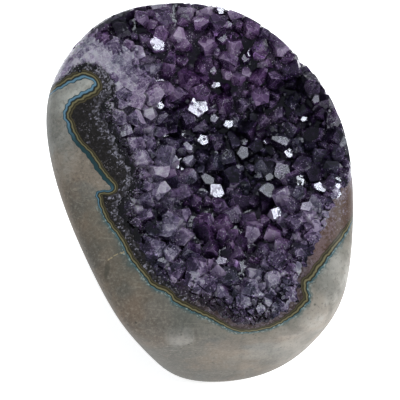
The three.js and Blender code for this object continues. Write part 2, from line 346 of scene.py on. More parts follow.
def ragged(outline, amount, pitch, seed):
    """The same outline with small uneven waves along it."""
    steps = np.linalg.norm(np.roll(outline, -1, 0) - outline, axis=1)
    course = np.cumsum(steps)
    turns = course / course[-1] * 2 * math.pi
    rng = np.random.default_rng(seed)
    sway = np.zeros(len(outline))
    for _ in range(4):
        count = round(course[-1] / (pitch * rng.uniform(0.6, 1.8)))
        sway += np.sin(turns * count + rng.uniform(0, 2 * math.pi)) / 2
    along = np.roll(outline, -1, 0) - np.roll(outline, 1, 0)
    along /= np.linalg.norm(along, axis=1)[:, None]
    return outline + np.stack((-along[:, 1], along[:, 0]), 1) * (sway * amount)[:, None]


def inside_by(outline, x, y):
    """Distance inside an outline, negative outside it."""
    x, y = np.asarray(x, float), np.asarray(y, float)
    nearest = np.full(x.shape, np.inf)
    inside = np.zeros(x.shape, bool)
    for (ax, ay), (bx, by) in zip(np.roll(outline, 1, 0), outline):
        ex, ey = bx - ax, by - ay
        along = np.clip(((x - ax) * ex + (y - ay) * ey) / (ex * ex + ey * ey), 0, 1)
        nearest = np.minimum(nearest, np.hypot(ax + ex * along - x, ay + ey * along - y))
        if ay != by:
            inside ^= ((ay > y) != (by > y)) & (x < ax + ex * (y - ay) / ey)
    return np.where(inside, nearest, -nearest)


AGATE_EDGE = ragged(smooth_outline(AGATE_OUTLINE, 8), 0.13, 2.8, 3)
CRUST_EDGE = ragged(smooth_outline(CRUST_OUTLINE, 8), 0.45, 3.2, 5)


def bed_depth(x, y):
    """Depth of the bed that the crystals stand on, shallow at the rim and deepest in the hollow."""
    from_centre = np.hypot(
        (x - HOLLOW_CENTRE[0]) / HOLLOW_REACH[0], (y - HOLLOW_CENTRE[1]) / HOLLOW_REACH[1])
    slope = smoothstep(inside_by(np.array(CRUST_OUTLINE), x, y), 0, HOLLOW_SLOPE)
    return RIM_DEPTH + HOLLOW_DEPTH * np.maximum(0, 1 - from_centre ** 2) * slope


def crust_floor(x, y):
    return bed_depth(x, y) + CRUST_THICKNESS


def agate_floor(x, y):
    return crust_floor(x, y) + AGATE_THICKNESS


# The view from the front: 400 pixels wide, through a lens of 100 mm on a sensor of 36 mm
VIEW_PIXELS = 400
VIEW_LENS = 100
VIEW_SENSOR = 36
VIEW_AIM = np.array((-1.0, 0.0, 45.5))
VIEW_DISTANCE = 376
VIEW_HEIGHT = 48
VIEW_BACK = bearing(270, VIEW_HEIGHT)

# Softboxes: azimuth and elevation, distance, width and height in metres, and power
SOFTBOXES = {
    "key": (335, 42, 1.2, 0.3, 0.3, 8.8),
    "overhead": (95, 74, 1.1, 0.5, 0.4, 4.4),
    "left": (180, 38, 1.3, 0.4, 0.4, 1.5),
    "front": (262, 20, 1.5, 0.7, 0.3, 1.2),
}
SOFTBOX_COLOUR = (0.95, 0.975, 1.0)

# The even light of the studio, and how far below the stone its floor is, in metres
WORLD_COLOUR = (0.9, 0.95, 1, 1)
WORLD_STRENGTH = 0.43
FLOOR_DROP = 0.0002

# A crystal of more than this radius that isn't one of those that stand out is spun on, a step at a time
# and so many times at most, while an end face is within this angle of mirroring the key softbox
GLARE_RADIUS = 1.3
GLARE_SPREAD = 10
GLARE_STEP = 17
GLARE_TURNS = 8


def crystal_bed(x, y, raised):
    """Depth of the bed under the ground surface, raised in the hollow and above ground in the cut patch."""
    depth = bed_depth(x, y)
    rim = 1 - smoothstep(inside_by(np.array(CRUST_OUTLINE), x, y), *RIM_WIDTH)
    cut = sum(
        np.exp(-(((x - cx) / rx) ** 2 + ((y - cy) / ry) ** 2) ** 2) for (cx, cy), (rx, ry) in CUT_PATCHES)
    return (depth + BED_SINK - raised * smoothstep(depth, 1.5, 7)
            - np.maximum(CUT_LIFT * np.minimum(cut, 1), RIM_LIFT * rim))


def zone_bed(x, y):
    """Depth of the bed where it is raised as the zones say."""
    return crystal_bed(x, y, zone_values(x, y)[:, 3])


def seen_at(pixel, lift):
    """The layout x and y of the place that shows at a pixel of the front view, a lift above the bed."""
    pixels_per_unit = VIEW_LENS / VIEW_SENSOR * VIEW_PIXELS
    upwards = np.cross((1, 0, 0), -VIEW_BACK)
    place = np.zeros(2)
    for _ in range(40):
        x, y = place[:1], place[1:]
        point = point_at(x, y, zone_bed(x, y) - lift)[0]
        ray = point - VIEW_AIM - VIEW_BACK * VIEW_DISTANCE
        ahead = ray @ -VIEW_BACK
        shown = np.array((ray[0], -(ray @ upwards))) / ahead * pixels_per_unit + VIEW_PIXELS / 2
        missed = (np.array(pixel) - shown) * ahead / pixels_per_unit
        place = place + missed * (0.8, -0.8)
    return place


def ground_over(points):
    """The points of the ground surface that points of the druse lie under."""
    outwards = points - DEEP_POINT
    outwards /= np.linalg.norm(outwards, axis=1)[:, None]
    above = points.copy()
    for _ in range(12):
        radial = above - HEART
        reach = np.linalg.norm(radial, axis=1)
        short = stone_radius(radial / reach[:, None]) - reach
        above += outwards * short[:, None]
    return above


def zone_values(x, y):
    """Paleness, violet, crystal radius and raised bed at places of the layout."""
    total = np.full(np.shape(x), 0.02)
    values = np.zeros((len(x), 4)) + 0.02 * np.array(FAR_FROM_ZONES)
    for (cx, cy), (rx, ry), *worth in ZONES:
        weight = (1 + ((x - cx) / rx) ** 2 + ((y - cy) / ry) ** 2) ** -3.0
        total = total + weight
        values += np.outer(weight, worth)
    return values / total[:, None]


def mesh_points(mesh):
    points = np.empty(len(mesh.vertices) * 3, np.float32)
    mesh.vertices.foreach_get("co", points)
    return points.reshape(-1, 3).astype(float)


def set_points(mesh, points):
    mesh.vertices.foreach_set("co", np.asarray(points, np.float32).ravel())
    mesh.update()


def as_mesh(bm, name):
    mesh = bpy.data.meshes.new(name)
    bm.to_mesh(mesh)
    bm.free()
    return mesh


def stone_mesh(subdivisions):
    """The whole stone, sawn flat at its base."""
    bm = bmesh.new()
    bmesh.ops.create_icosphere(bm, subdivisions=subdivisions, radius=1)
    mesh = as_mesh(bm, "stone")
    units = mesh_points(mesh)
    units /= np.linalg.norm(units, axis=1)[:, None]
    set_points(mesh, HEART + units * stone_radius(units)[:, None])
    bm = bmesh.new()
    bm.from_mesh(mesh)
    bpy.data.meshes.remove(mesh)
    geometry = [*bm.verts, *bm.edges, *bm.faces]
    bmesh.ops.bisect_plane(
        bm, geom=geometry, dist=1e-4, plane_co=(0, 0, 0), plane_no=(0, 0, -1), clear_outer=True)
    rim = [edge for edge in bm.edges if edge.is_boundary]
    filled = bmesh.ops.holes_fill(bm, edges=rim, sides=0)
    bmesh.ops.triangulate(bm, faces=filled["faces"])
    return as_mesh(bm, "stone")


def rays_through(outline):
    """Everything on the rays from the heart through an outline."""
    near, far = 4, 300
    bm = bmesh.new()
    bmesh.ops.create_circle(bm, cap_ends=True, segments=len(outline), radius=1)
    for corner, (x, y) in zip(next(iter(bm.faces)).verts, outline):
        corner.co = (x, y, 0)
    bmesh.ops.triangulate(bm, faces=bm.faces[:])
    raised = bmesh.ops.extrude_face_region(bm, geom=bm.faces[:], use_keep_orig=True)["geom"]
    corners = [part for part in raised if isinstance(part, bmesh.types.BMVert)]
    bmesh.ops.translate(bm, vec=(0, 0, 1), verts=corners)
    bmesh.ops.recalc_face_normals(bm, faces=bm.faces[:])
    mesh = as_mesh(bm, "rays")
    corners = mesh_points(mesh)
    reach = np.where(corners[:, 2] > 0.5, far, near)
    set_points(mesh, HEART + layout_direction(corners[:, 0], corners[:, 1]) * reach[:, None])
    return mesh


def layer(top_depth, floor_depth, spokes=72, rings=48):
    """Everything between two depths, over the whole druse; each depth is a function of the place."""
    bm = bmesh.new()
    bmesh.ops.create_uvsphere(bm, u_segments=spokes, v_segments=rings, radius=1)
    bmesh.ops.triangulate(bm, faces=bm.faces[:])
    mesh = as_mesh(bm, "layer")
    corners = mesh_points(mesh)
    from_pole = 1 - np.abs(np.arcsin(np.clip(corners[:, 2], -1, 1))) / (math.pi / 2)
    spoke = np.arctan2(corners[:, 1], corners[:, 0])
    x = LAYER_REACH * from_pole * np.cos(spoke)
    y = LAYER_REACH * from_pole * np.sin(spoke)
    depth = np.where(corners[:, 2] >= -1e-6, top_depth(x, y), floor_depth(x, y))
    set_points(mesh, point_at(x, y, depth))
    return mesh


def merged(first, second, operation):
    """The union, difference or intersection of two closed meshes, which are used up."""
    body = bpy.data.objects.new("body", first)
    tool = bpy.data.objects.new("tool", second)
    for thing in (body, tool):
        bpy.context.scene.collection.objects.link(thing)
    cut = body.modifiers.new("cut", "BOOLEAN")
    cut.solver = "MANIFOLD"
    cut.operation = operation
    cut.object = tool
    bpy.context.view_layer.update()
    evaluated = body.evaluated_get(bpy.context.evaluated_depsgraph_get())
    mesh = bpy.data.meshes.new_from_object(evaluated)
    for thing in (body, tool):
        bpy.data.objects.remove(thing)
    for used in (first, second):
        bpy.data.meshes.remove(used)
    if not mesh.polygons:
        raise RuntimeError(f"nothing is left after {operation}")
    return mesh


def largest_body(mesh):
    """Drops everything but the largest closed body, such as sealed pockets and slivers."""
    bm = bmesh.new()
    bm.from_mesh(mesh)
    bodies = []
    waiting = set(bm.verts)
    while waiting:
        found = [waiting.pop()]
        for corner in found:
            for edge in corner.link_edges:
                other = edge.other_vert(corner)
                if other in waiting:
                    waiting.remove(other)
                    found.append(other)
        bodies.append(found)
    bodies.sort(key=len)
    spare = [corner for body in bodies[:-1] for corner in body]
    bmesh.ops.delete(bm, geom=spare, context="VERTS")
    bm.to_mesh(mesh)
    bm.free()
    return mesh


def add_values(mesh, name, values):
    """Stores one number for every corner point of a mesh."""
    attribute = mesh.attributes.new(name, "FLOAT", "POINT")
    attribute.data.foreach_set("value", np.asarray(values, np.float32))


def finished(name, mesh, node, material, crease):
    """Puts a mesh in the scene in metres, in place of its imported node."""
    mesh.transform(Matrix.Scale(MILLIMETRE, 4))
    mesh.shade_smooth()
    mesh.set_sharp_from_angle(angle=math.radians(crease))
    mesh.materials.clear()
    mesh.materials.append(material)
    piece = bpy.data.objects.new(name, mesh)
    bpy.context.scene.collection.objects.link(piece)
    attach(piece, "root")
    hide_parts(node)
    return piece


# Crystal points: six-sided prisms that end in six sloping faces, three larger and three smaller. There
# are so many plain shapes, and so many with one face that is much larger. Lengths are for a radius of 1
POINT_SHAPES = 24
KEEN_SHAPES = 16
FACE_SLOPE = 52
POINT_ROOM = 1.2
POINT_LENGTH = 6

# How near two crystals may be, as a share of their radii together, and how much more room one that
# stands out has than its radius
CROWDING = 0.6
STANDING_ROOM = 1.45

# How tall the crystals are against their radius, and how much is added to all of them
POINT_HEIGHTS = (0.55, 1.25)
LEAST_HEIGHT = 0.4


def standing_lift(radius):
    """How far the middle of a standing-out crystal's largest face is above the bed."""
    return 0.7 * radius + 0.9


def point_shape(rng, keen=False):
    """A crystal of radius 1 with its tip at the origin, and its first end face's direction and middle."""
    heights = [rng.uniform(0, 0.45) if side % 2 else -rng.uniform(0.05, 0.5) for side in range(6)]
    if keen:
        heights[0] = -rng.uniform(0.3, 0.7)
    bm = bmesh.new()
    bmesh.ops.create_cone(bm, cap_ends=True, segments=6, radius1=1, radius2=1, depth=POINT_LENGTH)
    bmesh.ops.translate(bm, vec=(0, 0, POINT_ROOM - POINT_LENGTH / 2), verts=bm.verts[:])
    corner = next(iter(bm.verts)).co
    first = math.radians(30) - math.atan2(corner.y, corner.x)
    bmesh.ops.rotate(bm, cent=(0, 0, 0), matrix=Matrix.Rotation(first, 3, "Z"), verts=bm.verts[:])
    bmesh.ops.scale(bm, vec=(rng.uniform(0.85, 1.15), rng.uniform(0.6, 1), 1), verts=bm.verts[:])
    slope = math.radians(FACE_SLOPE)
    first_look = np.array((math.sin(slope), 0, math.cos(slope)))
    for side in range(6):
        turn = math.radians(60) * side
        lean = Vector((math.sin(slope) * math.cos(turn), math.sin(slope) * math.sin(turn), math.cos(slope)))
        geometry = [*bm.verts, *bm.edges, *bm.faces]
        cut = bmesh.ops.bisect_plane(
            bm, geom=geometry, dist=1e-5, plane_co=(0, 0, heights[side]), plane_no=lean, clear_outer=True)
        rim = [part for part in cut["geom_cut"] if isinstance(part, bmesh.types.BMEdge)]
        if rim:
            bmesh.ops.contextual_create(bm, geom=rim)
    bmesh.ops.translate(bm, vec=(0, 0, -max(corner.co.z for corner in bm.verts)), verts=bm.verts[:])
    mesh = as_mesh(bm, "point")
    largest = max(mesh.polygons, key=lambda face: face.normal @ Vector(first_look))
    return mesh, first_look, np.array(largest.center)


def crystal_places(rng, fineness):
    """Places, radii and bed heights of the crystals, larger ones first and none nearly on another."""
    count = len(STANDING_OUT)
    spin = rng.uniform(0, 2 * math.pi, TRIES)
    reach = np.sqrt(rng.uniform(0, 1, TRIES))
    x = FIELD_CENTRE[0] + FIELD_REACH[0] * reach * np.cos(spin)
    y = FIELD_CENTRE[1] + FIELD_REACH[1] * reach * np.sin(spin)
    inside = inside_by(CRUST_EDGE, x, y)
    keep = inside > -0.6
    x, y, inside = x[keep], y[keep], inside[keep]
    pale, _, size, _ = zone_values(x, y).T
    radius = size * fineness * rng.lognormal(0, SIZE_SPREAD, len(x))
    radius *= 0.65 + 0.35 * smoothstep(inside, 0, 6)
    radius = np.clip(radius, np.maximum(0.5, 0.4 * size), LARGEST_RADIUS)
    order = [*range(count), *(count + np.argsort(-radius + rng.uniform(0, 0.8, len(x))))]
    placed = np.array([seen_at(pixel, standing_lift(own)) for pixel, own, *_ in STANDING_OUT])
    x, y = np.append(placed[:, 0], x), np.append(placed[:, 1], y)
    radius = np.append([own for _, own, _, _ in STANDING_OUT], radius)
    pale = np.append([own for _, _, own, _ in STANDING_OUT], pale)
    raised = zone_values(x, y)[:, 3]
    base = point_at(x, y, crystal_bed(x, y, raised))
    room = np.where(np.arange(len(x)) < count, radius * STANDING_ROOM, radius)
    chosen = []
    grid = {}
    for index in order:
        home = tuple(int(v) for v in base[index] // CELL)
        cells = (grid.get((home[0] + a, home[1] + b, home[2] + c), ()) for a, b, c in NEIGHBOURS)
        gaps = ((base[index] - base[other], room[index] + room[other]) for cell in cells for other in cell)
        if index < count or not any(gap @ gap < (CROWDING * both) ** 2 for gap, both in gaps):
            grid.setdefault(home, []).append(index)
            chosen.append(index)
    chosen = np.array(chosen)
    return x[chosen], y[chosen], radius[chosen], raised[chosen], pale[chosen]


def growth_directions(x, y, raised):
    """The way straight out of the bed at places of the layout."""
    step = 0.8

    def bed(a, b):
        return point_at(a, b, crystal_bed(a, b, raised))

    across = bed(x + step, y) - bed(x - step, y)
    upwards = bed(x, y + step) - bed(x, y - step)
    outwards = np.cross(across, upwards)
    return outwards / np.linalg.norm(outwards, axis=1)[:, None]


def crystal_groups(points, radii):
    """Sorts the crystals into groups in which none touches another."""
    tree = KDTree(len(points))
    for index, point in enumerate(points):
        tree.insert(point, index)
    tree.balance()
    group_of = [-1] * len(points)
    widest = float(max(radii))
    for index, point in enumerate(points):
        taken = set()
        for _, other, distance in tree.find_range(point, 2.6 * (radii[index] + widest) + 4):
            if group_of[other] >= 0 and distance < 1.7 * (radii[index] + radii[other]) + 3.5:
                taken.add(group_of[other])
        group = 0
        while group in taken:
            group += 1
        group_of[index] = group
    groups = {}
    for index, group in enumerate(group_of):
        groups.setdefault(group, []).append(index)
    return list(groups.values())


def basis(axis, side):
    """Three square directions: an axis, the part of another one square to it, and their cross product."""
    axis = axis / np.linalg.norm(axis)
    square = side - axis * (side @ axis)
    square /= np.linalg.norm(square)
    return np.stack((axis, square, np.cross(axis, square)), 1)


def towards(place, target):
    return (target - place) / np.linalg.norm(target - place)


def mirror_direction(place, softbox):
    """The way a face looks that mirrors a softbox towards the front view."""
    azimuth, elevation, distance, *_ = SOFTBOXES[softbox]
    to_light = towards(place, VIEW_AIM + bearing(azimuth, elevation) * distance / MILLIMETRE)
    to_view = towards(place, VIEW_AIM + VIEW_BACK * VIEW_DISTANCE)
    return (to_light + to_view) / np.linalg.norm(to_light + to_view)


def end_faces(shape):
    """The directions in which the end faces of a crystal look."""
    normals = np.array([polygon.normal for polygon in shape.polygons])
    return normals[normals[:, 2] > 0.2]


def turned_from_glare(place, turn, faces):
    """A crystal's turn, spun on until none of its end faces mirrors the key softbox."""
    glare = mirror_direction(place, "key")
    for _ in range(GLARE_TURNS):
        if (faces @ np.array(turn).T @ glare).max() < math.cos(math.radians(GLARE_SPREAD)):
            break
        turn = turn @ Matrix.Rotation(math.radians(GLARE_STEP), 3, "Z")
    return turn


def turned_to_mirror(place, growth, look, softbox):
    """The turn that makes a crystal's first end face mirror a softbox towards the front view."""
    halfway = mirror_direction(place, softbox)
    square = basis(halfway, growth)[:, 1]
    slope = math.radians(FACE_SLOPE)
    axis = halfway * math.cos(slope) + square * math.sin(slope)
    turn = basis(axis, halfway) @ basis(np.array((0.0, 0, 1)), look).T
    return Matrix(turn.tolist())


def crystal_crust(seed, fineness, lean):
    """The amethyst crust as one closed mesh, and the tips, radii and paleness of its crystals."""
    rng = np.random.default_rng(seed)
    x, y, radii, raised, pale = crystal_places(rng, fineness)
    growth = growth_directions(x, y, raised)
    base = point_at(x, y, crystal_bed(x, y, raised))
    heights = radii * rng.uniform(*POINT_HEIGHTS, len(x)) + LEAST_HEIGHT
    shapes, looks, middles = zip(*(
        [point_shape(rng) for _ in range(POINT_SHAPES)]
        + [point_shape(rng, keen=True) for _ in range(KEEN_SHAPES)]))
    corners = [mesh_points(shape) for shape in shapes]
    faces = [end_faces(shape) for shape in shapes]
    spins = rng.uniform(0, 2 * math.pi, len(x))
    leans = np.radians(lean) * rng.uniform(0, 1, len(x)) ** 0.7
    bearings = rng.uniform(0, 2 * math.pi, len(x))
    picks = rng.integers(0, POINT_SHAPES, len(x))
    tips = np.empty((len(x), 3))
    placings = []
    lifts = [standing_lift(own) for _, own, _, _ in STANDING_OUT]
    aims = point_at(x, y, crystal_bed(x, y, raised) - np.append(lifts, np.zeros(len(x) - len(lifts))))
    for index in range(len(x)):
        upright = Vector(growth[index]).to_track_quat("Z", "Y").to_matrix()
        tilt = Matrix.Rotation(bearings[index], 3, "Z") @ Matrix.Rotation(leans[index], 3, "X")
        turn = upright @ tilt @ Matrix.Rotation(spins[index], 3, "Z")
        stands_out = index < len(STANDING_OUT)
        lit = STANDING_OUT[index][3] if stands_out else None
        if lit:
            picks[index] = POINT_SHAPES + index % KEEN_SHAPES
            turn = turned_to_mirror(aims[index], growth[index], looks[picks[index]], lit)
        elif radii[index] > GLARE_RADIUS:
            turn = turned_from_glare(base[index], turn, faces[picks[index]])
        tip = Vector(base[index]) + turn.col[2] * heights[index]
        if lit:
            tip = Vector(aims[index]) - turn @ Vector(middles[picks[index]] * radii[index])
        elif stands_out:
            tip = Vector(aims[index]) + turn.col[2] * radii[index] * 0.4
        if stands_out:
            steep = max(0.5, turn.col[2] @ Vector(growth[index]))
            heights[index] = (lifts[index] + radii[index] * 0.6) / steep
        tips[index] = tip
        placings.append((np.array(turn), np.array(tip)))

    crust = layer(lambda a, b: zone_bed(a, b) + 0.3, lambda a, b: crust_floor(a, b) + CRUST_THICKNESS)
    for group in crystal_groups(base, radii):
        bm = bmesh.new()
        places = []
        for index in group:
            turn, tip = placings[index]
            local = corners[picks[index]] * radii[index]
            root = local[:, 2] < (2 - POINT_LENGTH) * radii[index]
            local[root, 2] = -max(heights[index] + 2.2, 2.6 * radii[index])
            bm.from_mesh(shapes[picks[index]])
            places.append(local @ turn.T + tip)
        mesh = as_mesh(bm, "group")
        set_points(mesh, np.concatenate(places))
        crust = merged(crust, mesh, "UNION")
    room = merged(
        rays_through(shifted(CRUST_EDGE, SEAM)),
        layer(above_ground, lambda a, b: crust_floor(a, b) - SEAM),
        "INTERSECT")
    crust = merged(crust, room, "INTERSECT")
    crust = merged(crust, stone_mesh(STONE_DETAIL), "INTERSECT")
    for shape in shapes:
        bpy.data.meshes.remove(shape)
    return largest_body(crust), tips, radii, pale


def shifted(outline, distance):
    """The same outline drawn in by a small distance."""
    along = np.roll(outline, -1, 0) - np.roll(outline, 1, 0)
    along /= np.linalg.norm(along, axis=1)[:, None]
    return outline + np.stack((-along[:, 1], along[:, 0]), 1) * distance


def above_ground(x, y):
    return np.full(np.shape(x), -float(CLEAR_ABOVE))


def basalt_body():
    """The stone without the room of the agate and the druse."""
    room = merged(rays_through(AGATE_EDGE), layer(above_ground, agate_floor), "INTERSECT")
    return merged(stone_mesh(STONE_DETAIL), room, "DIFFERENCE")


def agate_body():
    """The lining between basalt and crust, ground flush with the stone."""
    room = merged(
        rays_through(shifted(AGATE_EDGE, SEAM)),
        layer(above_ground, lambda x, y: agate_floor(x, y) - SEAM),
        "INTERSECT")
    hole = merged(rays_through(CRUST_EDGE), layer(above_ground, crust_floor), "INTERSECT")
    return largest_body(merged(merged(stone_mesh(LINING_DETAIL), room, "INTERSECT"), hole, "DIFFERENCE"))


def add_course(mesh):
    """Stores where each corner lies on the layout, and how far it is inside the agate and the crust."""
    x, y = layout_place(mesh_points(mesh))
    add_values(mesh, "across", x)
    add_values(mesh, "up_slope", y)
    add_values(mesh, "in_agate", inside_by(AGATE_EDGE, x, y))
    add_values(mesh, "in_crust", inside_by(CRUST_EDGE, x, y))


def add_growth(mesh, tips, radii, pale, seed):
    """Stores each crystal's paleness, violet and own number on its faces, and on the corners how near
    they are to a tip, how high over the bed, how deep, and how much smoke or brown is there."""
    rng = np.random.default_rng(seed)
    tree = KDTree(len(tips))
    for index, tip in enumerate(tips):
        tree.insert(tip, index)
    tree.balance()
    pale_of = np.clip(pale + rng.normal(0, 0.11, len(tips)) + rng.normal(0, 0.05, len(tips)), 0, 1)
    own_number = rng.uniform(0, 1, len(tips))
    violet_of = zone_values(*layout_place(ground_over(tips)))[:, 1] + rng.normal(0, 0.16, len(tips))
    centres = np.empty(len(mesh.polygons) * 3, np.float32)
    mesh.polygons.foreach_get("center", centres)
    owners = []
    for centre in centres.reshape(-1, 3):
        found = tree.find_n(centre, 4)
        owners.append(min(found, key=lambda hit: hit[2] - 0.6 * radii[hit[1]])[1])
    for name, values in (("pale", pale_of), ("violet", np.clip(violet_of, 0, 1)), ("own", own_number)):
        attribute = mesh.attributes.new(name, "FLOAT", "FACE")
        attribute.data.foreach_set("value", values[owners].astype(np.float32))
    points = mesh_points(mesh)
    near_tip = np.empty(len(points))
    for index, point in enumerate(points):
        hits = tree.find_n(point, 4)
        _, own, distance = min(hits, key=lambda hit: hit[2] - 0.6 * radii[hit[1]])
        near_tip[index] = 1 - distance / (1.6 * radii[own])
    add_values(mesh, "tip", np.clip(near_tip, 0, 1))
    ground = ground_over(points)
    x, y = layout_place(ground)
    depth = np.linalg.norm(ground - points, axis=1)
    add_values(mesh, "rise", zone_bed(x, y) - depth)
    add_values(mesh, "depth", depth)
    from_basalt = inside_by(AGATE_EDGE, x, y)
    from_tip = np.hypot(x - SMOKE_TIP[0], y - SMOKE_TIP[1])
    further, reach = SMOKE_TIP_REACH
    at_tip = further * np.exp(-(from_tip / reach) ** 2)
    further, under, beside = SMOKE_LOW_LEFT
    low_left = further * smoothstep(y, *under) * smoothstep(x, *beside)
    at_line = SMOKE_REACH + low_left + at_tip - from_basalt
    low_end, high_end = SMOKE_FLANK_ENDS
    on_flank = smoothstep(y, *low_end) * smoothstep(y, *high_end) * (x < 0)
    at_edge = SMOKE_FLANK[0] - SMOKE_FLANK[1] * inside_by(CRUST_EDGE, x, y)
    add_values(mesh, "smoky", np.maximum(at_line, at_edge * on_flank - 2 * (1 - on_flank)))
    low, left, right = MAUVE_ENDS
    at_bottom = (1 - smoothstep(y, *low)) * smoothstep(x, *left) * smoothstep(x, *right)
    add_values(mesh, "mauve", at_bottom * (1 - smoothstep(from_basalt, *MAUVE_REACH)))
    add_values(mesh, "fan", np.arctan2(y - SMOKE_TIP[1], x - SMOKE_TIP[0]))
    add_values(mesh, "from_tip", from_tip)


class Socket:
    """A shader socket; sums on it add Math nodes to its material."""

    def __init__(self, finish, socket):
        self.finish = finish
        self.socket = socket

    def math(self, operation, *values):
        return self.finish.node("ShaderNodeMath", {"operation": operation}, dict(enumerate(values)))

    def beside(self, output):
        """Another output of the same node."""
        return Socket(self.finish, self.socket.node.outputs[output])

    def __add__(self, other):
        return self.math("ADD", self, other)

    def __sub__(self, other):
        return self.math("SUBTRACT", self, other)

    def __rsub__(self, other):
        return self.math("SUBTRACT", other, self)

    def __mul__(self, other):
        return self.math("MULTIPLY", self, other)

    def __truediv__(self, other):
        return self.math("DIVIDE", self, other)

    def __abs__(self):
        return self.math("ABSOLUTE", self)

    __radd__ = __add__
    __rmul__ = __mul__


class Finish:
    """The node tree of one material."""

    def __init__(self, name):
        self.material = bpy.data.materials.new(name)
        self.material.use_nodes = True
        self.tree = self.material.node_tree
        self.tree.nodes.clear()

    def node(self, kind, settings=None, sockets=None, output=0):
        """Adds a node, gives it its settings and then its socket values or links; returns one output."""
        node = self.tree.nodes.new(kind)
        for setting, worth in (settings or {}).items():
            if setting == "stops":
                ramp = node.color_ramp
                while len(ramp.elements) < len(worth):
                    ramp.elements.new(1)
                for element, (place, colour) in zip(ramp.elements, worth):
                    element.position = place
                    element.color = colour
            else:
                setattr(node, setting, worth)
        for key, value in (sockets or {}).items():
            if isinstance(value, Socket):
                self.tree.links.new(value.socket, node.inputs[key])
            else:
                node.inputs[key].default_value = value
        return Socket(self, node.outputs[output]) if node.outputs else None

    def place(self):
        return self.node("ShaderNodeTexCoord", output="Object")

    def value(self, name):
        return self.node("ShaderNodeAttribute", {"attribute_name": name}, output="Fac")

    def noise(self, place, scale, detail=2.0, roughness=0.5):
        return self.node("ShaderNodeTexNoise", None, {
            "Vector": place, "Scale": scale, "Detail": detail, "Roughness": roughness})

    def cells(self, place, scale, output="Distance", feature="F1"):
        return self.node(
            "ShaderNodeTexVoronoi", {"feature": feature}, {"Vector": place, "Scale": scale}, output)

    def cell_number(self, place, scale):
        """A number of its own for every cell."""
        return self.node("ShaderNodeSeparateColor", None, {0: self.cells(place, scale, "Color")}, "Red")

    def cell_edges(self, place, scale, width):
        """1 on the edges of the cells and 0 inside them."""
        return self.step(self.cells(place, scale, "Distance", "DISTANCE_TO_EDGE"), width, 0.0)

    def stretched(self, place, turn, stretch):
        return self.node("ShaderNodeMapping", None, {"Vector": place, "Rotation": turn, "Scale": stretch})

    def step(self, value, low, high):
        """0 below low, 1 above high, smooth between; low may be the larger of the two."""
        return self.node("ShaderNodeMapRange", {"interpolation_type": "SMOOTHSTEP"}, {
            "Value": value, "From Min": low, "From Max": high})

    def blend(self, share, first, second, kind="MIX"):
        return self.node("ShaderNodeMix", {"data_type": "RGBA", "blend_type": kind}, {
            0: share, 6: first, 7: second}, output=2)

    def layered(self, colour, *layers):
        """A colour with others laid over it in turn, each by its share."""
        for share, over in layers:
            colour = self.blend(share, colour, over)
        return colour

    def ramp(self, value, *stops):
        """The colour of the stops that a value from 0 to 1 has reached."""
        return self.node("ShaderNodeValToRGB", {"stops": stops}, {"Fac": value}, "Color")

    def spot(self, x, y, centre, reach):
        """1 in the middle of an oval mark and 0 outside it."""
        right = (x - centre[0]) / reach[0]
        up = (y - centre[1]) / reach[1]
        return self.step(right * right + up * up, 1, 0.2)

    def thread(self, x, y, start, end, width):
        """1 on a thin line from start to end and 0 beside it."""
        length = math.hypot(end[0] - start[0], end[1] - start[1])
        cos, sin = (end[0] - start[0]) / length, (end[1] - start[1]) / length
        along = (x - start[0]) * cos + (y - start[1]) * sin
        aside = (y - start[1]) * cos - (x - start[0]) * sin
        ends = self.step(along, -0.5, 0.3) * self.step(along, length, length - 1)
        return self.step(abs(aside), width, 0.1) * ends

    def warped(self, place, scale, distance):
        """The same places pushed about a little, for ragged cells."""
        push = self.node("ShaderNodeTexNoise", None, {"Vector": place, "Scale": scale}, "Color")
        offset = self.node("ShaderNodeVectorMath", {"operation": "MULTIPLY_ADD"}, {
            0: push, 1: (2 * distance,) * 3, 2: (-distance,) * 3})
        return self.node("ShaderNodeVectorMath", {"operation": "ADD"}, {0: place, 1: offset})

    def broken(self, place, scale, amount):
        """The surface normal turned a little another way in every small cell."""
        normal = self.node("ShaderNodeNewGeometry", output="Normal")
        cell = self.cells(place, scale, "Color")
        offset = self.node("ShaderNodeVectorMath", {"operation": "MULTIPLY_ADD"}, {
            0: cell, 1: (amount,) * 3, 2: (-amount / 2,) * 3})
        total = self.node("ShaderNodeVectorMath", {"operation": "ADD"}, {0: normal, 1: offset})
        return self.node("ShaderNodeVectorMath", {"operation": "NORMALIZE"}, {0: total})

    def bump(self, height, strength, distance):
        return self.node("ShaderNodeBump", None, {
            "Height": height, "Strength": strength, "Distance": distance}, output="Normal")

    def surface(self, shader, volume=None):
        sockets = {"Surface": shader}
        if volume is not None:
            sockets["Volume"] = volume
        self.node("ShaderNodeOutputMaterial", None, sockets)


def linear(red, green, blue):
    """A colour as seen on a screen, from 0 to 255, as linear light."""
    return tuple(
        part / 255 / 12.92 if part <= 10 else ((part / 255 + 0.055) / 1.055) ** 2.4
        for part in (red, green, blue))


def opaque(colour):
    return (*colour, 1.0)


def screen(red, green, blue):
    """A colour as seen on a screen, from 0 to 255, as one that a node takes."""
    return opaque(linear(red, green, blue))


def tone(name, colour, description):
    return bpy.props.FloatVectorProperty(
        name=name, description=description, subtype="COLOR", size=3, min=0, max=1, default=linear(*colour))


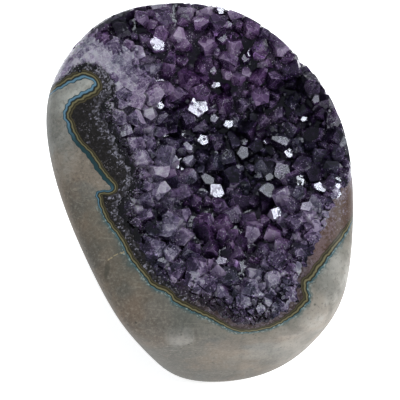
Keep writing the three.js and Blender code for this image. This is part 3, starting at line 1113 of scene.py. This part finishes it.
class DruseColours(bpy.types.PropertyGroup):
    basalt: tone("Basalt", (110, 105, 96), "Polished basalt on most of the stone")
    # The warm tone is partly the brown of the stone and partly painted shade on its left side.
    basalt_warm_and_shade: tone("Warm basalt", (92, 75, 62), "Brownish basalt at the left and towards the base")
    # The basalt shadow tone is both the dark patches of the stone and painted shade at its left and low
    # down.
    basalt_dark_and_shade: tone("Basalt shadow", (74, 72, 66), "Dark patches and specks in the basalt")
    agate_blue: tone("Blue line", (82, 114, 132), "The agate line next to the basalt")
    agate_teal: tone("Teal line", (28, 52, 56), "The same line on the left flank")
    agate_olive: tone("Olive line", (106, 101, 75), "The line inside the blue one")
    agate_smoke: tone("Smoky agate", (22, 20, 19), "The chalcedony between the lines and the crystals")
    agate_brown: tone("Brown agate", (76, 58, 50), "The chalcedony on the right")
    amethyst_deep: tone("Deep amethyst", (64, 38, 78), "Crystals in the hollow")
    amethyst: tone("Amethyst", (124, 91, 139), "Crystals between hollow and rim")
    amethyst_pale: tone("Pale amethyst", (232, 228, 238), "Crystals at the rim")


class DruseSizes(bpy.types.PropertyGroup):
    seed: bpy.props.IntProperty(
        name="Crystal order", description="Another number grows other crystals", default=7, min=0)
    fineness: bpy.props.FloatProperty(
        name="Crystal size", description="Size of the crystals against those of each zone",
        default=1.0, min=0.5, max=2, subtype="FACTOR")
    lean: bpy.props.FloatProperty(
        name="Crystal lean", description="How far a crystal may lean from straight out of its bed",
        default=math.radians(38), min=0, max=math.radians(60), subtype="ANGLE")
    crease: bpy.props.FloatProperty(
        name="Crease", description="Edges that turn more than this are sharp",
        default=math.radians(24), min=0, max=math.radians(90), subtype="ANGLE")
    camera_distance: bpy.props.FloatProperty(
        name="Camera distance", description="From the camera to the middle of the stone",
        default=VIEW_DISTANCE * MILLIMETRE, min=0.2, max=2, subtype="DISTANCE", unit="LENGTH")
    camera_height: bpy.props.FloatProperty(
        name="Camera height", description="Angle at which the camera looks down",
        default=math.radians(VIEW_HEIGHT), min=0, max=math.radians(89), subtype="ANGLE")
    floor: bpy.props.FloatProperty(
        name="Floor", description="Side of the square floor",
        default=6, min=1, max=20, subtype="DISTANCE", unit="LENGTH")


# A thin tan vein and a dark stain on the basalt at the lower left, on the layout
BASALT_VEIN = ((-23.8, -21.3), (-29.1, -24.3))
VEIN_WIDTH = 0.35
BASALT_STAIN = ((-28.2, -27), (1.1, 3.2))

# Wide clouds in the basalt: centre and reach on the layout, colour as seen on a screen, and share. They are
# partly the stone's own clouding and partly painted light and shade: painted shade in the dark clouds low
# down and at the lower left, painted light in the light clouds on the right.
BASALT_CLOUDS = (
    ((-39, 28), (10, 9), (176, 177, 170), 0.7),
    ((-44, 10), (6, 12), (142, 143, 138), 0.5),
    ((-15, -42), (12, 13), (112, 97, 83), 0.8),
    ((-24, -48), (10, 12), (76, 65, 55), 0.7),
    ((-23, -25), (7, 8), (66, 71, 69), 0.65),
    ((-4, -46), (6, 6), (164, 160, 153), 0.6),
    ((13, -50), (12, 6), (84, 87, 86), 0.7),
    ((31, -41), (6, 5), (186, 182, 175), 0.4),
    ((25, -49), (8, 7), (118, 116, 110), 0.6),
    ((39, -27), (12, 16), (186, 183, 176), 0.6),
)

# Amethyst: how much it bends light, what share passes through, and the violet that this light takes on
AMETHYST_IOR = 1.544
AMETHYST_CLEAR = 0.6
AMETHYST_VIOLET = (0.5, 0.3, 0.62)
AMETHYST_DENSITY = 60.0


def basalt_finish(colours):
    """Satin basalt, clouded tan and blue-grey, brownish at the lower left and stained under the agate, with
    painted shade towards the left and low down and painted light towards the right.
    """
    finish = Finish("basalt")
    step, noise = finish.step, finish.noise
    place = finish.place()
    wide = noise(place, 26, 3)
    cloud = noise(place, 80, 5, 0.62)
    tint = noise(place, 44, 4, 0.6)
    grain = noise(place, 1100, 4, 0.75)
    ragged_edge = noise(place, 420, 3) - 0.5
    streak = noise(finish.stretched(place, (0.15, 0.1, 0.4), (320, 300, 50)), 1, 4, 0.6)
    scratch = noise(finish.stretched(place, (0.5, 0.9, 0.2), (60, 900, 1500)), 1, 2)
    speck = step(finish.cells(place, 480), 0.24, 0.12) * step(noise(place, 110, 2), 0.5, 0.62)
    in_agate = finish.value("in_agate")
    across = finish.value("across")
    up_slope = finish.value("up_slope")
    near = step(in_agate, -60, -20)
    right = finish.node("ShaderNodeSeparateXYZ", None, {0: place}, "X")
    height = right.beside("Z")
    # Painted light and shade: the basalt is painted in its dark tone towards the left and low down, where
    # the stone is turned from the light, and lighter towards the right, where the key light falls.
    edge = right * 0.8 + height * 0.45 + (wide - 0.5) * 0.02
    upper = step(height + (wide - 0.5) * 0.02, 0.062, 0.084)
    # Partly a brown tone of the stone and partly painted shade, warmer and darker on the left side.
    brown_and_shade = step(right + (wide - 0.5) * 0.03, -0.016, -0.044) * (1 - upper)
    colour = finish.layered(
        opaque(colours.basalt_dark_and_shade),
        (step(edge, -0.012, 0.03), opaque(colours.basalt)),
        (step(cloud, 0.35, 0.65) * 0.4, opaque(colours.basalt)),
        (step(edge, 0.012, 0.046) * 0.85, screen(160, 153, 143)),
        (upper * 0.65, screen(132, 133, 128)),
        (brown_and_shade * (0.1 + step(wide, 0.3, 0.7) * 0.3), opaque(colours.basalt_warm_and_shade)))
    for centre, reach, shade, share in BASALT_CLOUDS:
        patch = finish.spot(across + (wide - 0.5) * 8, up_slope + (cloud - 0.5) * 8, centre, reach)
        colour = finish.blend(patch * share, colour, screen(*shade))
    low = step(up_slope, 2, -10)
    halo = step(in_agate + (cloud - 0.5) * 9, -7.5, 0.5) * low
    rind = step(in_agate + ragged_edge * 2.6, -0.8, -0.1) * low
    chalk = rind * step(noise(place, 1300, 2), 0.52, 0.62)
    stain = finish.spot(across + ragged_edge * 2, up_slope, *BASALT_STAIN)
    vein = finish.thread(across, up_slope + ragged_edge * 2.5, *BASALT_VEIN, VEIN_WIDTH)
    colour = finish.layered(
        colour,
        (step(tint, 0.5, 0.62) * 0.4, screen(132, 112, 92)),
        (step(tint, 0.48, 0.36) * 0.4, screen(100, 104, 102)),
        (step(cloud, 0.46, 0.68) * (0.25 + near * 0.2), opaque(colours.basalt_dark_and_shade)),
        (step(streak, 0.48, 0.7) * 0.4, screen(88, 84, 76)),
        (step(scratch, 0.62, 0.74) * 0.22, screen(168, 162, 150)),
        (step(grain, 0.5, 0.66) * 0.3, screen(158, 152, 140)),
        (step(grain, 0.47, 0.34) * 0.45, screen(62, 58, 52)),
        (speck * 0.65, screen(54, 52, 47)),
        (halo * 0.38, screen(76, 81, 73)),
        (rind * 0.6, screen(62, 80, 79)),
        (chalk * 0.55, screen(150, 158, 152)),
        (stain * 0.6, screen(64, 62, 54)),
        (vein * step(grain, 0.4, 0.55) * 0.7, screen(168, 152, 118)))
    shader = finish.node("ShaderNodeBsdfPrincipled", None, {
        "Base Color": finish.blend(1.0, colour, screen(243, 243, 243), "MULTIPLY"),
        "Roughness": 0.42 + grain * 0.2,
        "Specular IOR Level": 0.2,
        "Normal": finish.bump(grain * 0.6 + cloud * 0.6, 0.25, 0.0003),
    })
    finish.surface(shader)
    return finish.material


def agate_finish(colours):
    """Lines along the edge of the basalt, then smoky chalcedony with crystals in it, brown on the right."""
    finish = Finish("agate")
    step, noise = finish.step, finish.noise
    place = finish.place()
    fine = noise(place, 700, 3, 0.6)
    soft = noise(place, 160, 2)
    slow = noise(place, 70, 2)
    grit = noise(place, 1300, 3, 0.7)
    across = finish.value("across")
    up_slope = finish.value("up_slope")
    line = finish.value("in_agate") + (soft - 0.5) * 0.35 + (fine - 0.5) * 0.35
    finger = step(up_slope, 13, 21)
    flank = step(up_slope, -6, 3) * (1 - finger)
    bottom = 1 - step(up_slope, -14, -2)
    right = step(across + (soft - 0.5) * 8, 33, 39)
    first = 0.42 + finger * 0.34 + flank * 0.7
    second = line - first
    at_first = line / first
    pale_specks = step(finish.cells(place, 900), 0.4, 0.2) * bottom
    blue = finish.layered(
        screen(34, 52, 56),
        (step(at_first, 0.1, 0.4), opaque(colours.agate_blue)),
        (step(at_first, 0.66, 0.95), screen(26, 44, 50)),
        (flank, opaque(colours.agate_teal)),
        (bottom * 0.75, screen(68, 90, 91)),
        (step(fine, 0.45, 0.6) * bottom * 0.7, screen(44, 64, 64)),
        (pale_specks * 0.6, screen(142, 158, 154)))
    olive = finish.ramp(
        second / (1.15 + slow * 0.6),
        (0.0, screen(20, 22, 18)),
        (0.12, screen(28, 28, 20)),
        (0.26, opaque(colours.agate_olive)),
        (0.42, screen(86, 80, 55)),
        (0.5, screen(30, 26, 16)),
        (0.6, screen(40, 34, 22)),
        (0.7, screen(68, 64, 46)),
        (0.78, screen(62, 56, 38)),
        (0.9, screen(24, 21, 16)),
        (1.0, opaque(colours.agate_smoke)))
    mauve = step(across, -8, 14) * bottom
    number = finish.cell_number(finish.warped(place, 900, 0.0005), 1800)
    other = number.beside("Green")
    dense = step(finish.value("in_crust") + (soft - 0.5) * 5 + (fine - 0.5) * 4, -4.5, 0.6)
    speck = step(number + dense * (0.8 - bottom * (1 - mauve) * 0.45), 0.9, 1.08)
    crystal = finish.blend(other * other, screen(34, 31, 36), screen(128, 126, 138))
    crystal = finish.blend(mauve * 0.4 + right * 0.4, crystal, screen(120, 100, 104))
    # Painted glints: small bright specks in the smoky chalcedony.
    painted_glint = step(finish.cells(place, 1700), 0.24, 0.12) * step(noise(place, 260, 2), 0.46, 0.58)
    smoke = finish.layered(
        opaque(colours.agate_smoke),
        (mauve, screen(52, 40, 38)),
        (right, opaque(colours.agate_brown)),
        (step(grit, 0.5, 0.72) * 0.4, screen(68, 64, 66)),
        (step(grit, 0.46, 0.32) * 0.6, screen(11, 10, 10)),
        (speck * (0.85 - mauve * 0.4), crystal),
        (painted_glint * 0.6, screen(150, 144, 150)))
    colour = finish.layered(blue, (step(second, -0.06, 0.06), olive), (step(second, 1.2, 1.5), smoke))
    shader = finish.node("ShaderNodeBsdfPrincipled", None, {
        "Base Color": colour,
        "Roughness": 0.34 + fine * 0.15,
        "Specular IOR Level": 0.15,
        "Normal": finish.broken(place, 1100, 0.12),
    })
    finish.surface(shader)
    return finish.material


def amethyst_finish(colours):
    """Clear amethyst, deep purple in the hollow, partly as painted shade, and pale towards the rim, with
    smoke at its edge.
    """
    finish = Finish("amethyst")
    step, noise = finish.step, finish.noise
    place = finish.place()
    veil = noise(place, 380, 5, 0.68)
    soft = noise(place, 110, 3)
    slow = noise(place, 50, 2)
    own = finish.value("own")
    in_violet = finish.value("violet")
    turned = finish.node("ShaderNodeVectorRotate", {"rotation_type": "AXIS_ANGLE"}, {
        "Vector": place, "Axis": (0.4, 0.7, 0.6), "Angle": own * 6.28})
    fibre = noise(finish.stretched(turned, (0, 0, 0), (1500, 220, 1500)), 1, 3, 0.6)
    # Painted light: every face of a crystal gets a paleness of its own by the way it looks, standing in for
    # faces that catch the light and for inner reflections.
    normal = finish.node("ShaderNodeNewGeometry", output="True Normal")
    facet_light = finish.node("ShaderNodeTexNoise", {"noise_dimensions": "4D"}, {
        "Vector": normal, "W": own * 40, "Scale": 2.2, "Detail": 1.0})
    flaw = finish.warped(place, 260, 0.0012)
    shard = finish.cell_number(flaw, 420)
    crack = finish.cell_edges(flaw, 420, 0.05)
    tooth = finish.cell_number(flaw, 1900)

    ground = step(finish.value("depth"), 0.3, 0.05)
    bent = finish.warped(place, 140, 0.0022)
    mosaic = finish.cell_number(bent, 190)
    seams = finish.cell_edges(bent, 190, 0.045)
    fan = finish.node("ShaderNodeCombineXYZ", None, {
        "X": finish.value("fan") * 7, "Y": finish.value("from_tip") * 0.16, "Z": soft})
    ray = noise(fan, 1, 4, 0.62)
    vein = step(abs(noise(place, 210, 4, 0.6) - 0.5), 0.03, 0.0)
    cut = (mosaic - 0.5) * 0.3 + seams * 0.16 + (ray - 0.5) * 0.7 + vein * 0.16 - 0.05

    calm = 1 - step(in_violet, 0.4, 0.9) * 0.5
    zone = finish.value("pale")
    # Painted light: the crystals are paler towards their tips, where they are lit.
    pale = (zone * 0.94 + (soft - 0.5) * 0.35 + (slow - 0.5) * 0.3
            + (veil - 0.5) * 0.8 * calm * (1 - ground * 0.4) + (fibre - 0.5) * 0.5 * calm
            + (facet_light - 0.5) * 0.7 + (shard - 0.5) * 0.26 + crack * 0.16
            + (finish.value("tip") - 0.35) * 0.3 * (1 - ground) + ground * cut)
    grey = finish.ramp(
        pale,
        (0.0, screen(16, 16, 26)),
        (0.25, screen(54, 54, 74)),
        (0.5, screen(120, 117, 140)),
        (0.75, screen(188, 185, 202)),
        (1.0, opaque(colours.amethyst_pale)))
    violet = finish.ramp(
        pale,
        (0.0, screen(26, 15, 36)),
        (0.25, opaque(colours.amethyst_deep)),
        (0.5, opaque(colours.amethyst)),
        (0.75, screen(194, 168, 204)),
        (1.0, opaque(colours.amethyst_pale)))
    # Painted shade: the crystals are darker towards their bed and in the crevices between them, less so
    # where they are pale and not where the ground surface cuts them flush.
    crevice_shade = 0.8 - step(zone, 0.25, 0.7) * 0.45
    shade = 1 - (1 - step(finish.value("rise"), -0.8, 2.8)) * crevice_shade + ground * 0.8
    # Painted glints: small bright specks on the paler crystals.
    painted_glint = step(finish.cells(place, 1250), 0.26, 0.14) * step(noise(place, 200, 2), 0.39, 0.52)
    mauve = step(finish.value("mauve") + (tooth - 0.5) * 0.5 + (soft - 0.5) * 1.1, 0.25, 0.75)
    smoke = step(finish.value("smoky") + (tooth - 0.5) * 1.0 + (soft - 0.5) * 1.4, -0.9, 0.7)
    colour = finish.layered(
        grey,
        (in_violet + (soft - 0.5) * 0.5, violet),
        (1 - shade, screen(11, 6, 17)),
        (painted_glint * step(pale, 0.1, 0.45) * 0.85, screen(232, 230, 238)),
        (mauve * (0.75 - painted_glint * 0.5), screen(46, 35, 35)),
        (smoke * (1 - painted_glint * 0.6), opaque(colours.agate_smoke)))
    shader = finish.node("ShaderNodeBsdfPrincipled", None, {
        "Base Color": colour,
        "Roughness": 0.07 + step(veil, 0.45, 0.75) * 0.2,
        "IOR": AMETHYST_IOR,
        "Specular Tint": opaque((0.53, 0.55, 0.6)),
        "Subsurface Weight": 0.3,
        "Subsurface Radius": (1.0, 0.6, 1.2),
        "Subsurface Scale": 0.0015,
        "Transmission Weight": AMETHYST_CLEAR,
        "Normal": finish.broken(place, 1100, 0.13),
    })
    volume = finish.node("ShaderNodeVolumeAbsorption", None, {
        "Color": opaque(AMETHYST_VIOLET), "Density": AMETHYST_DENSITY}, "Volume")
    finish.surface(shader, volume)
    return finish.material


def floor_finish():
    finish = Finish("floor")
    mottle = finish.noise(finish.place(), 6, 2)
    shader = finish.node("ShaderNodeBsdfPrincipled", None, {
        "Base Color": finish.blend(mottle, opaque((0.93, 0.93, 0.93)), opaque((0.95, 0.95, 0.95))),
        "Roughness": 0.9,
        "Specular IOR Level": 0.1,
        "Emission Color": (1, 1, 1, 1),
        "Emission Strength": 0.7,
    })
    finish.surface(shader)
    return finish.material


class DRUSE_OT_basalt(bpy.types.Operator):
    """Makes the polished basalt"""
    bl_idname = "druse.basalt"
    bl_label = "Basalt"

    def execute(self, context):
        mesh = basalt_body()
        add_course(mesh)
        material = basalt_finish(context.scene.druse_colours)
        finished("basalt", mesh, "basalt_matrix", material, STONE_CREASE)
        return {"FINISHED"}


class DRUSE_OT_agate(bpy.types.Operator):
    """Makes the banded agate lining"""
    bl_idname = "druse.agate"
    bl_label = "Agate lining"

    def execute(self, context):
        mesh = agate_body()
        add_course(mesh)
        material = agate_finish(context.scene.druse_colours)
        finished("agate", mesh, "agate_lining", material, STONE_CREASE)
        return {"FINISHED"}


class DRUSE_OT_crystals(bpy.types.Operator):
    """Grows the amethyst crystals as one crust"""
    bl_idname = "druse.crystals"
    bl_label = "Amethyst crust"

    def execute(self, context):
        sizes = context.scene.druse_sizes
        mesh, tips, radii, pale = crystal_crust(sizes.seed, sizes.fineness, math.degrees(sizes.lean))
        add_growth(mesh, tips, radii, pale, sizes.seed)
        material = amethyst_finish(context.scene.druse_colours)
        finished("amethyst", mesh, "amethyst_crust", material, math.degrees(sizes.crease))
        return {"FINISHED"}


def look(thing, place, aim):
    thing.location = place
    thing.rotation_euler = (Vector(aim) - Vector(place)).to_track_quat("-Z", "Y").to_euler()


class DRUSE_OT_studio(bpy.types.Operator):
    """Sets up the pale floor, the soft lights and the camera"""
    bl_idname = "druse.studio"
    bl_label = "Studio"

    def execute(self, context):
        scene = context.scene
        sizes = scene.druse_sizes
        aim = Vector(VIEW_AIM) * MILLIMETRE
        bm = bmesh.new()
        bmesh.ops.create_grid(bm, x_segments=1, y_segments=1, size=sizes.floor / 2)
        bmesh.ops.translate(bm, vec=(0, 0, -FLOOR_DROP), verts=bm.verts[:])
        floor = bpy.data.objects.new("floor", as_mesh(bm, "floor"))
        floor.data.materials.append(floor_finish())
        scene.collection.objects.link(floor)
        for name, (azimuth, elevation, distance, width, height, power) in SOFTBOXES.items():
            light = bpy.data.lights.new(name, "AREA")
            light.shape = "RECTANGLE"
            light.size = width
            light.size_y = height
            light.energy = power
            light.color = SOFTBOX_COLOUR
            box = bpy.data.objects.new(name, light)
            look(box, aim + Vector(bearing(azimuth, elevation)) * distance, aim)
            scene.collection.objects.link(box)
        world = bpy.data.worlds.new("studio")
        world.use_nodes = True
        background = world.node_tree.nodes["Background"]
        background.inputs["Color"].default_value = WORLD_COLOUR
        background.inputs["Strength"].default_value = WORLD_STRENGTH
        scene.world = world
        lens = bpy.data.cameras.new("camera")
        lens.lens = VIEW_LENS
        lens.sensor_width = VIEW_SENSOR
        camera = bpy.data.objects.new("camera", lens)
        height = sizes.camera_height
        back = Vector((0, -math.cos(height), math.sin(height)))
        look(camera, aim + back * sizes.camera_distance, aim)
        scene.collection.objects.link(camera)
        scene.camera = camera
        scene.view_settings.view_transform = "Standard"
        return {"FINISHED"}


class DRUSE_PT_panel(bpy.types.Panel):
    bl_idname = "DRUSE_PT_panel"
    bl_label = "Amethyst druse"
    bl_space_type = "VIEW_3D"
    bl_region_type = "UI"
    bl_category = "Druse"

    def draw(self, context):
        for group in (context.scene.druse_sizes, context.scene.druse_colours):
            for name in group.__annotations__:
                self.layout.prop(group, name)
        for piece in PIECES:
            self.layout.operator(piece.bl_idname)


PIECES = (DRUSE_OT_basalt, DRUSE_OT_agate, DRUSE_OT_crystals, DRUSE_OT_studio)
GROUPS = (DruseSizes, DruseColours)


def register():
    for part in (*GROUPS, *PIECES, DRUSE_PT_panel):
        bpy.utils.register_class(part)
    bpy.types.Scene.druse_sizes = bpy.props.PointerProperty(type=DruseSizes)
    bpy.types.Scene.druse_colours = bpy.props.PointerProperty(type=DruseColours)


def unregister():
    del bpy.types.Scene.druse_colours
    del bpy.types.Scene.druse_sizes
    for part in reversed((*GROUPS, *PIECES, DRUSE_PT_panel)):
        bpy.utils.unregister_class(part)


def main():
    register()
    bpy.ops.druse.basalt()
    bpy.ops.druse.agate()
    bpy.ops.druse.crystals()
    bpy.ops.druse.studio()


if __name__ == "__main__":
    main()
